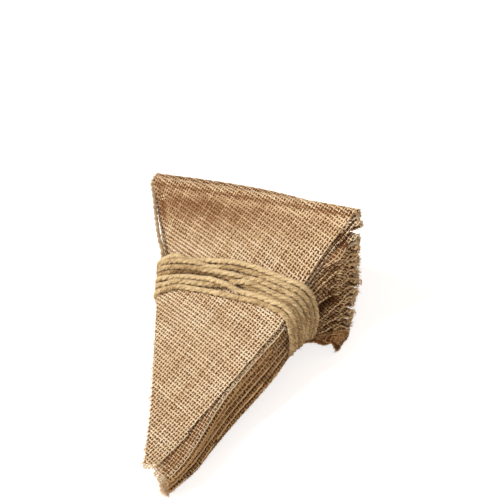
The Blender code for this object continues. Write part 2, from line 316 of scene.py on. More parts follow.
class Cloth:
    """The middle surface of one flag, with the flat cut of its cloth.

    The surface is a grid of rows from the end of the hem's flap, round the string, over the face and down
    to the tip. A place on the flat cloth is u across and v down from the top of the hem; v is below zero
    round the string and on the flap. Columns of the grid are lines of constant u over the half width.
    """

    def __init__(self, k, columns=61):
        self.k = k
        a = np.linspace(-1.0, 1.0, columns)
        flap = [FLAP, 11.5, 10.0, 8.5, 7.0, 5.6, 4.4]
        turns = np.radians(np.linspace(222.0, 14.0, 14))
        fan_rows = np.concatenate([[0.03, 0.08], np.linspace(0.14, 1.0, 18)])
        press_rows = np.linspace(0.015, 1.0, 66)
        grid = flag_rows(k, a, turns, flap, fan_rows, press_rows)
        self.hem_row = len(flap) + len(turns) - 1
        self.columns = columns
        grid = self.rumpled(grid, a)
        self.grid = grid
        self.normal = outer_normals(grid)
        mid = columns // 2
        side = unit(np.gradient(grid, axis=1)[:, mid])
        step = np.diff(grid[:, mid], axis=0)
        sideways = (step * (side[1:] + side[:-1]) / 2.0).sum(-1)
        fall = np.sqrt(np.maximum((step**2).sum(-1) - sideways**2, 1e-9))
        v = np.concatenate([[0.0], np.cumsum(fall)])
        self.v = v - v[self.hem_row]
        half = row_half(grid)[:, 0]
        self.hem_half = float(half[self.hem_row])
        self.tip_half = float(half[-1])
        self.length = float(self.v[-1])
        self.flap = float(-self.v[0])
        self.lean = float(sideways[self.hem_row:].sum())
        # How far yarns may run over the flat cloth, with some to spare.
        self.reach = np.hypot(self.length, self.hem_half * 2.0) + 30.0

    def rumpled(self, grid, a):
        """Small dips and waves in the cloth, pushed along its outer side as sums of bells and sines: waves
        in the free edges, a sag and a groove behind the top hem, a groove along the top flag's left edge,
        and the two corners that are pushed out."""
        normal = outer_normals(grid)
        v = np.linalg.norm(np.diff(grid, axis=0), axis=-1).cumsum(0)
        v = np.vstack([np.zeros((1, v.shape[1])), v])
        v = v - v[self.hem_row]
        k, a = self.k, a[None]
        face = smooth((v - 1.0) / 4.0)
        free = face * smooth((34.0 - v) / 16.0)
        wave = np.sin(v * 0.33 + 1.7 * k) + 0.7 * np.sin(v * 0.61 + 2.9 * k + 1.0)
        relief = 0.3 * free * wave * smooth((a - 0.62) / 0.38) * (k > 0)
        relief = relief + 0.4 * free * np.sin(v * 0.27 + 2.3 * k) * smooth((-a - 0.66) / 0.34) * (k > 0)
        if k == 0:
            edge = (1.0 + a) * row_half(grid)
            relief = relief - face * bell(v, 11.0, 7.0) * (0.6 - 0.3 * a) - 0.8 * bell(v, 2.9, 1.3)
            relief = relief - 0.7 * face * bell(edge, 5.5, 2.4) * bell(v, 17.0, 11.0)
            relief = relief + 0.12 * free * np.sin(a * 9.0 + 0.8) * np.sin(v * 0.16 + 1.1)
        if k == 2:
            relief = relief + 1.2 * bell(v, 14.0, 5.0) * smooth((a - 0.84) / 0.16)
        grid = grid + normal * relief[..., None]
        if k == 2:
            # One corner sticks out past the flags above it.
            push = bell(v, 14.0, 6.5) * smooth((a - 0.82) / 0.18)
            grid = grid + push[..., None] * np.array([5.0, -1.5, 0.6])
        if k == FLAGS - 1:
            # The lowest flag's right corner is pushed out beside the stack and hangs to the surface.
            push = bell(a, 0.85, 0.11) * smooth((26.0 - v) / 16.0)
            grid = grid + push[..., None] * np.array([10.0, 5.5, 2.2])
            droop = smooth((a - 0.62) / 0.38) * bell(v, 14.0, 8.0)
            grid = grid - droop[..., None] * np.array([0.5, 0.0, 4.6])
            tuck = smooth((a - 0.9) / 0.1) * smooth((12.0 - v) / 10.0)
            grid = grid + tuck[..., None] * np.array([-1.2, 0.3, 0.3])
        return grid

    def half(self, v):
        """Half the flat cloth's width at v: straight from the hem to the tip."""
        t = np.clip(v / self.length, 0.0, 1.02)
        return self.hem_half + (self.tip_half - self.hem_half) * t

    def middle(self, v):
        """How far the middle of the flat cloth leans to the side at v."""
        return self.lean * np.clip(v / self.length, 0.0, 1.02)

    def at(self, a, v, lift=0.0):
        """A place on the surface by the share a of the half width and by v, and the outer normal there."""
        row = np.interp(v, self.v, np.arange(len(self.v)))
        col = (a + 1.0) / 2.0 * (self.columns - 1)
        r0 = np.clip(row.astype(int), 0, len(self.v) - 2)
        c0 = np.clip(np.floor(col).astype(int), 0, self.columns - 2)
        fr, fc = (row - r0)[..., None], (col - c0)[..., None]
        out = []
        for g in (self.grid, self.normal):
            top = g[r0, c0] * (1 - fc) + g[r0, c0 + 1] * fc
            low = g[r0 + 1, c0] * (1 - fc) + g[r0 + 1, c0 + 1] * fc
            out.append(top * (1 - fr) + low * fr)
        n = out[1] / np.linalg.norm(out[1], axis=-1, keepdims=True)
        return out[0] + n * np.asarray(lift)[..., None], n

    def shade(self, a, v):
        """How much lighter or darker the yarns are, in the tone's own units, mostly painted light and shade.
        On the
        top flag: painted shade behind the top hem, most toward the left corner, on the roll and in the
        groove behind it and in the fold inside the left edge, and a painted highlight on the fold's strip
        along that
        edge. On the lowest flag: painted shade on its right corner and a little over all of it. On the
        others:
        each flag's own tone from LAYER_TONE, a painted highlight on the right rim, painted shade deeper in
        the fan and between the hems, and the third flag's pushed-out corner darker."""
        if self.k == 0:
            edge = (1.0 + a) * self.half(v)
            # Painted shade behind the top hem, most toward the left corner, and over the sag there.
            dark = 1.7 * bell(v, 13.0, 9.0) * bell(a, -0.65, 0.8) + 0.8 * bell(v, 13.0, 14.0)
            # Painted shade in the groove of the fold inside the left edge.
            dark = dark + 2.0 * bell(edge, 4.8, 2.0) * bell(v, 13.0, 9.0)
            # Painted shade in the groove behind the roll and on the roll itself.
            dark = dark + 1.7 * bell(v, 2.7, 0.9) + 0.7 * bell(v, -2.5, 2.5)
            # Painted highlight on the fold's strip along the left edge.
            strip = bell(edge, 0.8, 1.6) * smooth((v - 4.0) / 4.0) * smooth((62.0 - v) / 10.0)
            return 0.9 * strip - dark
        if self.k == FLAGS - 1:
            # Painted shade on the lowest flag's right corner, and the whole flag a little darker.
            return -1.0 * smooth((a - 0.3) / 0.4) * smooth((60.0 - v) / 25.0) - 0.3
        edge = (1.0 - a) * self.half(v)
        spread = smooth((a - 0.4) / 0.2) * smooth((46.0 - v) / 10.0)
        # Painted highlight on the right rim, painted shade deeper in the fan and between the hems.
        rim = 0.5 if self.k < 3 else 2.2
        depth = rim * bell(edge, 0.0, 2.4) - 2.2 * smooth((edge - 2.0) / 5.0) - 0.8 * bell(v, 9.0, 4.5)
        # The third flag's pushed-out corner is darker.
        corner = 1.6 * bell(v, 14.0, 6.5) * smooth((a - 0.8) / 0.2) * (self.k == 2)
        return 0.1 + LAYER_TONE[self.k] + spread * depth - corner

    def grain(self):
        """The two thread directions on the flat cloth: along the right edge, and square to it."""
        d = np.array([self.middle(self.length) + self.tip_half - self.hem_half, self.length])
        d = d / np.linalg.norm(d)
        return d, np.array([d[1], -d[0]])


def put_mesh(name, points, quads, caps, mat, strand=None, tone=None):
    """A mesh from arrays: points in millimetres, faces, and the two attributes that its material reads."""
    mesh = bpy.data.meshes.new(name)
    points = (np.asarray(points, float).reshape(-1, 3) + SHIFT) * MM
    loops = np.concatenate([np.asarray(quads).reshape(-1)] + [np.asarray(c).reshape(-1) for c in caps])
    sizes = [np.full(len(quads), 4)] + [np.full(len(c), np.asarray(c).shape[1]) for c in caps if len(c)]
    sizes = np.concatenate(sizes)
    mesh.vertices.add(len(points))
    mesh.vertices.foreach_set("co", points.astype(np.float32).reshape(-1))
    mesh.loops.add(len(loops))
    mesh.loops.foreach_set("vertex_index", loops.astype(np.int32))
    mesh.polygons.add(len(sizes))
    starts = np.concatenate([[0], np.cumsum(sizes)[:-1]])
    mesh.polygons.foreach_set("loop_start", starts.astype(np.int32))
    mesh.polygons.foreach_set("loop_total", sizes.astype(np.int32))
    mesh.polygons.foreach_set("use_smooth", np.full(len(sizes), True))
    if strand is not None:
        layer = mesh.attributes.new("strand", "FLOAT_VECTOR", "POINT")
        layer.data.foreach_set("vector", np.asarray(strand, np.float32).reshape(-1))
    if tone is not None:
        layer = mesh.attributes.new("tone", "FLOAT", "POINT")
        layer.data.foreach_set("value", np.asarray(tone, np.float32).reshape(-1))
    mesh.update()
    mesh.validate()
    mesh.materials.append(mat)
    obj = bpy.data.objects.new(name, mesh)
    bpy.context.scene.collection.objects.link(obj)
    return obj


def put_strands(name, strands, mat):
    """The arrays that tubes gives, as one piece of the part in its place."""
    points, quads, caps, strand, tone = strands
    obj = put_mesh(name, points, quads, [caps], mat, strand, tone)
    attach(obj, "root")
    return obj


def tubes(centre, normal, along, wide, high, inside, sides, tone, twist=5.0, tip=0.6):
    """Many strands at once as closed tubes. centre, normal and along are strands by samples by 3; a ring
    at each sample is centre + wide*cos(t)*B + high*sin(t)*N, B being N x along, and rings follow each
    other where inside is true. The first and last ring of a run are narrower, by tip, and closed. The
    strand attribute turns once round in twist millimetres."""
    before = np.zeros_like(inside)
    before[:, 1:] = inside[:, :-1]
    after = np.zeros_like(inside)
    after[:, :-1] = inside[:, 1:]
    inside = inside & (before | after)
    first = inside & ~before
    last = inside & ~after
    keep = np.flatnonzero(inside.reshape(-1))
    index = np.full(inside.size, -1)
    index[keep] = np.arange(len(keep))

    def flat(x):
        return np.broadcast_to(x, inside.shape).reshape(-1)[keep]

    c = centre.reshape(-1, 3)[keep]
    n = normal.reshape(-1, 3)[keep]
    d = along.reshape(-1, 3)[keep]
    d = d / np.maximum(np.linalg.norm(d, axis=-1, keepdims=True), 1e-9)
    b = np.cross(n, d)
    b = b / np.maximum(np.linalg.norm(b, axis=-1, keepdims=True), 1e-9)
    scale = np.where(flat(first | last), tip, 1.0)
    w, h = flat(wide) * scale, flat(high) * scale
    t = np.arange(sides) * 2.0 * np.pi / sides + np.pi / 2.0
    ring = (
        c[:, None]
        + b[:, None] * (w[:, None] * np.cos(t))[..., None]
        + n[:, None] * (h[:, None] * np.sin(t))[..., None]
    )
    steps = np.linalg.norm(np.diff(centre, axis=1), axis=-1)
    length = np.cumsum(np.concatenate([np.zeros((inside.shape[0], 1)), steps], axis=1), axis=1)
    s = length.reshape(-1)[keep]
    which = np.repeat(np.arange(inside.shape[0]), inside.shape[1])[keep]
    turn = t[None] - s[:, None] * 2.0 * np.pi / twist
    # Fibres are drawn out along the strand, and each strand has its own part of the noise.
    drawn = (0.16 * s + 7.3 * which)[:, None] + 0.0 * turn
    strand = np.stack([np.cos(turn), np.sin(turn), drawn], axis=-1)
    joined = np.flatnonzero((inside[:, :-1] & inside[:, 1:]).reshape(-1))
    row, col = np.divmod(joined, inside.shape[1] - 1)
    i0 = index[row * inside.shape[1] + col] * sides
    i1 = index[row * inside.shape[1] + col + 1] * sides
    j = np.arange(sides)
    jn = (j + 1) % sides
    quads = np.stack([i0[:, None] + j, i0[:, None] + jn, i1[:, None] + jn, i1[:, None] + j], axis=-1)
    start = index[np.flatnonzero(first.reshape(-1))][:, None] * sides + j[::-1]
    end = index[np.flatnonzero(last.reshape(-1))][:, None] * sides + j
    tones = np.repeat(flat(tone), sides)
    caps = np.concatenate([start, end])
    return ring.reshape(-1, 3), quads.reshape(-1, 4), caps, strand.reshape(-1, 3), tones


def yarn_family(cloth, family):
    """One thread direction on the flat cloth: the ways along and across its yarns, each yarn's number and
    place across, where the first sample along them lies and where their first crossing is. Family 0 runs
    along the right edge and family 1 square to it."""
    long_way, cross_way = cloth.grain()
    edge = cloth.hem_half * cross_way[0]
    many = int(2.6 * cloth.hem_half / PITCH) + 16
    # Samples begin half a step before a crossing, so that each yarn peaks at the crossings.
    if family == 0:
        number = np.arange(many)[:, None]
        origin = (np.floor(-50.0 / PITCH) + 0.5) * PITCH
        return long_way, cross_way, number, edge - (number - 1.5) * PITCH, origin, 0.5 * PITCH
    number = np.arange(int(cloth.reach / PITCH) + BEFORE_HEM)[:, None] - BEFORE_HEM
    origin = edge - many * PITCH + 0.5 * PITCH
    return cross_way, long_way, number, (number + 0.5) * PITCH, origin, edge - 0.5 * PITCH


def woven(cloth, seed, keep, per_pitch=2, sides=6, fray=1.3):
    """The yarns of one flag, a result of tubes for each thread direction. Each yarn is a straight line on
    the flat cloth with some wander, laid on the surface and lifted by YARN_RISE*cos(pi*s/PITCH), with the
    sign changing from yarn to yarn and from family to family, so that it goes over one and under the next.
    keep(a, v) says where yarns are drawn, and fray is how far their cut ends may stand out."""
    rng = np.random.default_rng(seed)
    step = PITCH / per_pitch
    samples = int((cloth.reach + 60.0) / step)
    parts = []
    for family in (0, 1):
        along, side, number, offset, origin, first_crossing = yarn_family(cloth, family)
        count = len(number)
        s = origin + np.arange(samples) * step
        phase = np.cos(np.pi * (s - first_crossing) / PITCH)
        sign = np.where((number + family) % 2 == 0, 1.0, -1.0)
        wander = 0.2 * waves(s[None], seed * 7 + family, count, longest=55.0)
        wander = wander + 0.1 * waves(s[None], seed * 7 + family + 3, count, longest=9.0)
        across = offset + wander
        u = across * side[0] + s * along[0]
        v = across * side[1] + s * along[1]
        overhang = rng.uniform(-0.4, fray, (count, 1)) * rng.choice([1.0, 0.3], (count, 1))
        half = cloth.half(v)
        a = (u - cloth.middle(v)) / np.maximum(half, 0.5)
        end = smooth((v - cloth.length + 32.0) / 18.0)
        more_left = 0.5 * (cloth.k == 0) + end * TIP_LEFT[cloth.k]
        more_right = WALL_EXTRA[cloth.k] * smooth((v - 55.0) / 25.0) + end * 2.2 * (cloth.k == 0)
        # The hem's cut end stands out as a bump, and the selvedge below it has hardly any loose ends.
        bump = smooth((4.0 - v) / 3.0) * (0.9 + 1.1 * np.maximum(overhang, 0.0))
        left = a * half >= -half - overhang - more_left
        right = a * half <= half + np.minimum(overhang, 0.35) + more_right + bump
        low = v <= cloth.length + 0.7 * overhang
        high = v >= -cloth.flap - 0.4 * overhang
        inside = left & right & low & high & keep(a, v)
        yarn = rng.uniform(0.0, 1.0, (count, 1))
        # Painted light and shade from the flag's shade, added to each yarn's own random tone.
        shade = cloth.shade(a, v)
        slub = 1.0 + 0.16 * waves(s[None], seed * 11 + family, count, longest=26.0) + 0.2 * (yarn - 0.5)
        lift = sign * phase * YARN_RISE
        inside_rows = inside.any(1)
        u, v, a, lift, inside, slub, yarn = (
            x[inside_rows] for x in (u, v, a, lift + 0.0 * u, inside, slub, yarn + shade)
        )
        cols = inside.any(0)
        first, final = np.flatnonzero(cols)[[0, -1]]
        cut = slice(first, final + 1)
        u, v, a, lift, inside, slub, yarn = (x[:, cut] for x in (u, v, a, lift, inside, slub, yarn))
        centre, normal = cloth.at(a, v, lift)
        direction = np.gradient(centre, axis=1)
        wide = YARN_WIDE * slub
        high_r = YARN_HIGH * (0.5 + 0.5 * slub)
        parts.append(tubes(centre, normal, direction, wide, high_r, inside, sides, yarn))
    return parts


def ground(cloth, mat):
    """A thin sheet under the yarns that stands for the fibre between them, a grid of rows and columns on the
    surface; its near-black finish is painted shade in the holes of the weave.
    """
    hem_rows = np.linspace(-cloth.flap + 0.8, -0.1, 12)
    v = np.unique(np.concatenate([hem_rows, np.linspace(0.0, cloth.length - 1.6, 40)]))
    a = np.linspace(-1.0, 1.0, 23)
    vv, aa = np.meshgrid(v, a, indexing="ij")
    half = cloth.half(vv)
    aa = aa * (half - 0.55) / half
    points, _ = cloth.at(aa, vv)
    rows, cols = vv.shape
    i = (np.arange(rows - 1)[:, None] * cols + np.arange(cols - 1)).reshape(-1)
    quads = np.stack([i, i + cols, i + cols + 1, i + 1], axis=-1)
    strand = np.stack([aa * half, vv, 0.0 * vv], axis=-1)
    obj = put_mesh(f"flag_{cloth.k + 1:02d}_cloth", points, quads, [], mat, strand, 0.0 * vv)
    shell = obj.modifiers.new("cloth", "SOLIDIFY")
    shell.thickness = GROUND_THICK * MM
    shell.offset = 0.0
    return obj


def socket_group(name, inputs, outputs):
    """An empty shader node group with its named sockets: (name, type, value) in, (name, type) out."""
    group = bpy.data.node_groups.new(name, "ShaderNodeTree")
    for label, kind, value in inputs:
        made = group.interface.new_socket(label, in_out="INPUT", socket_type=kind)
        if value is not None:
            made.default_value = value
    for label, kind in outputs:
        group.interface.new_socket(label, in_out="OUTPUT", socket_type=kind)
    return group, group.nodes.new("NodeGroupInput"), group.nodes.new("NodeGroupOutput")


def node(tree, kind, **values):
    """A new shader node; in_ before a number or a name sets that input, and other names its settings."""
    made = tree.nodes.new(kind)
    for key, value in values.items():
        if key.startswith("in_"):
            slot = key[3:]
            made.inputs[int(slot) if slot.isdigit() else slot.replace("_", " ")].default_value = value
        else:
            setattr(made, key, value)
    return made


def fibre_group():
    """Plant fibre on a strand: fine lines that run round and along it, pale hairs and dark flecks.

    The strand attribute is a point (cos, sin, along) that turns with the twist, so noise that is fine
    round the strand and long along it makes fibres; a coarse noise in space gives the uneven dye."""
    g, gin, gout = socket_group(
        "plant fibre",
        [
            ("Dark", "NodeSocketColor", (0.2, 0.12, 0.06, 1)),
            ("Middle", "NodeSocketColor", (0.5, 0.35, 0.2, 1)),
            ("Light", "NodeSocketColor", (0.8, 0.6, 0.4, 1)),
            ("Fineness", "NodeSocketFloat", 5.0),
            ("Patch Size", "NodeSocketFloat", 60.0),
            ("Contrast", "NodeSocketFloat", 0.5),
        ],
        [("Colour", "NodeSocketColor"), ("Height", "NodeSocketFloat"), ("Rough", "NodeSocketFloat")],
    )
    link = g.links.new
    strand = node(g, "ShaderNodeAttribute", attribute_name="strand")
    tone = node(g, "ShaderNodeAttribute", attribute_name="tone")
    fibre = node(g, "ShaderNodeTexNoise", in_Detail=3.0, in_Roughness=0.6)
    link(strand.outputs["Vector"], fibre.inputs["Vector"])
    link(gin.outputs["Fineness"], fibre.inputs["Scale"])
    place = node(g, "ShaderNodeTexCoord")
    patch = node(g, "ShaderNodeTexNoise", in_Detail=2.0)
    link(place.outputs["Object"], patch.inputs["Vector"])
    link(gin.outputs["Patch Size"], patch.inputs["Scale"])
    spread = node(g, "ShaderNodeMapRange", in_1=0.3, in_2=0.7, in_3=0.0, in_4=1.0)
    link(fibre.outputs["Fac"], spread.inputs[0])
    some = node(g, "ShaderNodeMath", operation="MULTIPLY_ADD", in_2=0.0)
    link(spread.outputs[0], some.inputs[0])
    link(gin.outputs["Contrast"], some.inputs[1])
    # The tone attribute lightens or darkens the colour: each strand's own random tone plus the painted light
    # and shade laid on it.
    more = node(g, "ShaderNodeMath", operation="MULTIPLY_ADD", in_1=0.16)
    link(tone.outputs["Fac"], more.inputs[0])
    link(some.outputs[0], more.inputs[2])
    patchy = node(g, "ShaderNodeMath", operation="MULTIPLY_ADD", in_1=0.42)
    link(patch.outputs["Fac"], patchy.inputs[0])
    link(more.outputs[0], patchy.inputs[2])
    ramp = node(g, "ShaderNodeMapRange", in_1=0.12, in_2=0.84, in_3=0.0, in_4=2.0)
    link(patchy.outputs[0], ramp.inputs[0])
    low = node(g, "ShaderNodeMix", data_type="RGBA")
    link(ramp.outputs[0], low.inputs[0])
    link(gin.outputs["Dark"], low.inputs[6])
    link(gin.outputs["Middle"], low.inputs[7])
    over = node(g, "ShaderNodeMath", operation="SUBTRACT", use_clamp=True, in_1=1.0)
    link(ramp.outputs[0], over.inputs[0])
    high = node(g, "ShaderNodeMix", data_type="RGBA")
    link(over.outputs[0], high.inputs[0])
    link(low.outputs[2], high.inputs[6])
    link(gin.outputs["Light"], high.inputs[7])
    link(high.outputs[2], gout.inputs["Colour"])
    link(fibre.outputs["Fac"], gout.inputs["Height"])
    rough = node(g, "ShaderNodeMapRange", in_1=0.0, in_2=1.0, in_3=0.72, in_4=0.98)
    link(fibre.outputs["Fac"], rough.inputs[0])
    link(rough.outputs[0], gout.inputs["Rough"])
    return g


def fibre_material(name, group, dark, middle, light, fineness, patch, contrast, bump, sheen):
    """A material of plant fibre between its three colours."""
    m = bpy.data.materials.new(name)
    m.use_nodes = True
    tree = m.node_tree
    bsdf = tree.nodes["Principled BSDF"]
    fibres = tree.nodes.new("ShaderNodeGroup")
    fibres.node_tree = group
    fibres.inputs["Dark"].default_value = (*dark, 1.0)
    fibres.inputs["Middle"].default_value = (*middle, 1.0)
    fibres.inputs["Light"].default_value = (*light, 1.0)
    fibres.inputs["Fineness"].default_value = fineness
    fibres.inputs["Patch Size"].default_value = patch
    fibres.inputs["Contrast"].default_value = contrast
    raised = node(tree, "ShaderNodeBump", in_Strength=bump, in_Distance=0.0003)
    tree.links.new(fibres.outputs["Height"], raised.inputs["Height"])
    tree.links.new(fibres.outputs["Colour"], bsdf.inputs["Base Color"])
    tree.links.new(fibres.outputs["Rough"], bsdf.inputs["Roughness"])
    tree.links.new(raised.outputs["Normal"], bsdf.inputs["Normal"])
    bsdf.inputs["Sheen Weight"].default_value = sheen
    bsdf.inputs["Sheen Roughness"].default_value = 0.6
    bsdf.inputs["Specular IOR Level"].default_value = 0.2
    return m


def plain_material(name, colour, rough):
    m = bpy.data.materials.new(name)
    m.use_nodes = True
    bsdf = m.node_tree.nodes["Principled BSDF"]
    bsdf.inputs["Base Color"].default_value = (*colour, 1.0)
    bsdf.inputs["Roughness"].default_value = rough
    return m


def smooth_path(points, spacing):
    """Even samples along a smooth curve through points: a Catmull-Rom curve, walked by its length."""
    p = np.asarray(points, float)
    p = np.vstack([2 * p[0] - p[1], p, 2 * p[-1] - p[-2]])
    t = np.linspace(0.0, 1.0, 12, endpoint=False)[:, None, None]
    a, b, c, d = p[:-3], p[1:-2], p[2:-1], p[3:]
    curve = 0.5 * (2 * b + (c - a) * t + (2 * a - 5 * b + 4 * c - d) * t**2 + (3 * b - a - 3 * c + d) * t**3)
    curve = np.vstack([curve.transpose(1, 0, 2).reshape(-1, 3), p[-2]])
    length = np.concatenate([[0.0], np.cumsum(np.linalg.norm(np.diff(curve, axis=0), axis=1))])
    count = max(int(length[-1] / spacing), 3)
    walk = np.linspace(0.0, length[-1], count + 1)
    return np.stack([np.interp(walk, length, curve[:, i]) for i in range(3)], axis=-1)


def carried_frames(path):
    """Two directions square to a path that turn with it as little as they can, by reflecting them from
    point to point."""
    along = unit(np.gradient(path, axis=0))
    first = np.cross(along[0], [0.3, 0.5, 0.8])
    side = [first / np.linalg.norm(first)]
    for i in range(len(path) - 1):
        step = path[i + 1] - path[i]
        c1 = step @ step
        r = side[-1] - (2.0 / c1) * (step @ side[-1]) * step
        t = along[i] - (2.0 / c1) * (step @ along[i]) * step
        turn = along[i + 1] - t
        c2 = turn @ turn
        r = r - (2.0 / c2) * (turn @ r) * turn if c2 > 1e-12 else r
        side.append(r / np.linalg.norm(r))
    side = np.array(side)
    return along, side, np.cross(along, side)


def twisted(path, thick, plies, lay, sides, seed, swell=0.06, shade=0.0):
    """A laid twine of plies round a path: ply n's centre turns about the path once every lay, so that the
    plies touch in the middle, and each ply is a closed tube of its own."""
    along, side, other = carried_frames(path)
    s = np.concatenate([[0.0], np.cumsum(np.linalg.norm(np.diff(path, axis=0), axis=1))])
    ply = thick / 2.0 * (0.56 if plies == 2 else 0.58)
    off = thick / 2.0 - ply * 0.9
    uneven = 1.0 + swell * waves(s[None], seed, plies, longest=24.0)
    centres, normals = [], []
    for n in range(plies):
        t = -2.0 * np.pi * s / lay + 2.0 * np.pi * n / plies
        t = t + 0.25 * waves(s[None], seed + 5, 1, longest=40.0)[0]
        out = side * np.cos(t)[:, None] + other * np.sin(t)[:, None]
        centres.append(path + out * off)
        normals.append(out)
    centres, normals = np.array(centres), np.array(normals)
    direction = unit(np.gradient(centres, axis=1))
    normals = unit(normals - direction * (normals * direction).sum(-1, keepdims=True))
    tone = np.random.default_rng(seed).uniform(0.2, 0.9, (plies, 1)) + 0.0 * s + shade
    inside = np.ones(centres.shape[:2], bool)
    wide = ply * 1.05 * uneven
    return tubes(centres, normals, direction, wide, ply * uneven, inside, sides, tone, twist=-9.0)


# Where the yarns of the flags between the top and the lowest one are drawn: how far in from each side,
# above the line v = OPEN_TO and below it, how far up from the tip, and over which v at the hem.
OPEN_TO = 42.0
RIM_OPEN = 13.0
RIM_LEFT = 3.6
RIM_RIGHT = 7.0
RIM_TIP = {"upper": 20.0, "lower": 10.0}
RIM_HEM = (-8.5, 3.5)


def drawn_yarns(cloth):
    """Says for places (a, v) of a flag whether its yarns are drawn there: all over where the flag shows,
    or else on the rims."""

    def everywhere(a, v):
        return np.ones(np.shape(a), bool)

    def rims(a, v):
        deep = np.where(v < OPEN_TO, RIM_OPEN, np.where(a < 0, RIM_LEFT, RIM_RIGHT))
        near_side = (1.0 - np.abs(a)) * cloth.half(v) < deep
        near_tip = cloth.length - v < RIM_TIP["upper" if cloth.k < 4 else "lower"]
        hem = (v < RIM_HEM[1]) & (v > RIM_HEM[0])
        return near_side | near_tip | hem

    return everywhere if cloth.k in (0, FLAGS - 1) else rims


def make_flags(hole_shade_mat, top_mat, shaded_yarn_mat):
    """Every flag as its sheet and its two pieces of yarns; gives back the flags' surfaces."""
    cloths = []
    for k in range(FLAGS):
        cloth = Cloth(k, 121 if k in (0, FLAGS - 1) else 61)
        cloths.append(cloth)
        # The sheet's near-black finish is painted shade in the holes of the weave.
        sheet = ground(cloth, hole_shade_mat)
        families = woven(cloth, 11 + k, drawn_yarns(cloth), sides=5 if k == 0 else 3)
        # Flags under the top three take the darker, warmer copy of the yarn finish, as painted shade.
        yarn_mat = shaded_yarn_mat if k > 2 else top_mat
        yarns = [
            put_strands(f"flag_{k + 1:02d}_{family}_yarns", strands, yarn_mat)
            for family, strands in zip(("long", "cross"), families)
        ]
        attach(sheet, "root")
        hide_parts(f"flag_{k + 1:02d}")
    return cloths


# The tail of the string from under the binding up the cloth's left edge to the top hem.
LAID_TAIL = [
    (-40.6, -44.0, 46.2),
    (-42.8, -38.6, 47.8),
    (-45.8, -32.9, 51.2),
    (-50.1, -28.2, 54.6),
    (-54.3, -22.6, 58.2),
    (-58.7, -16.4, 62.2),
    (-63.3, -9.6, 66.0),
    (-67.4, -4.0, 69.3),
    (-69.9, -0.6, 70.8),
]


def full_string_path():
    """The string's line, closer than the solid's: the tail, then hem after hem with a loop at each turn."""
    points = list(LAID_TAIL)
    for k in range(FLAGS):
        a = np.linspace(-0.99, 0.99, 12)
        if k % 2:
            a = a[::-1]
        run = hem_line(k, a)
        if k == FLAGS - 1:
            run = run[: len(run) - 3]
        points += [tuple(p) for p in run]
        if k < FLAGS - 1:
            side = 1.0 if k % 2 == 0 else -1.0
            p = hem_line(k, np.array([side]))[0]
            q = hem_line(k + 1, np.array([side]))[0]
            out = np.array([side, 0.0, 0.0])
            for t, reach in ((0.1, 0.3), (0.5, 0.6), (0.9, 0.3)):
                points.append(tuple(p + (q - p) * t + out * reach))
    return smooth_path(points, 1.6)


def make_string(mat):
    """The string as a two-ply twine on its line."""
    path = full_string_path()
    obj = put_strands("string_laid", twisted(path, STRING, 2, 7.5, 6, 91), mat)
    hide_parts("string")
    return obj


# The turns of twine in the order in which they were wound: each one's y where it crosses the top at the
# x in TURN_X, on the right side at the heights in TURN_Z, and below the stack at its right and left. The
# top is crossed from x = TOP_FROM to TOP_TO.
TURN_X = [-41, -30, -20, -10, 0, 10, 20, 30, 40, 48]
TURN_Z = [44, 36, 28, 20, 12]
TOP_FROM = -43.0
TOP_TO = 50.0
TURNS_OVER = [
    [-44.4, -42.6, -41.4, -40.6, -40.4, -41.6, -43.2, -44.4, -45.0, -45.2],
    [-54.6, -51.0, -50.0, -50.0, -49.7, -49.3, -49.3, -49.2, -49.4, -50.2],
    [-50.4, -48.0, -47.2, -46.9, -46.4, -44.9, -42.6, -41.4, -42.0, -42.6],
    [-42.2, -41.1, -40.9, -41.0, -41.2, -40.6, -38.9, -38.7, -39.3, -39.8],
    [-39.6, -39.1, -39.0, -38.4, -37.3, -36.2, -35.9, -36.3, -36.6, -37.0],
    [-38.0, -36.6, -35.9, -35.2, -34.6, -34.2, -34.0, -34.0, -33.9, -34.2],
    [-47.0, -44.6, -44.0, -44.2, -45.0, -46.2, -46.3, -46.7, -47.2, -47.8],
]
TURNS_DOWN = [
    [-45.6, -46.2, -47.0, -50.4, -52.8],
    [-51.4, -53.0, -54.4, -56.8, -58.4],
    [-42.6, -42.8, -43.4, -47.2, -50.2],
    [-39.4, -39.2, -39.8, -44.0, -47.6],
    [-36.5, -35.8, -36.4, -40.8, -44.8],
    [-33.6, -32.4, -33.0, -37.4, -41.8],
    [-48.6, -49.6, -50.6, -53.4, -55.4],
]
TURNS_BELOW = [
    (-50.8, -49.8),
    (-56.4, -54.8),
    (-50.0, -51.6),
    (-47.6, -47.4),
    (-44.2, -44.2),
    (-41.4, -42.2),
    (-53.6, -53.2),
]


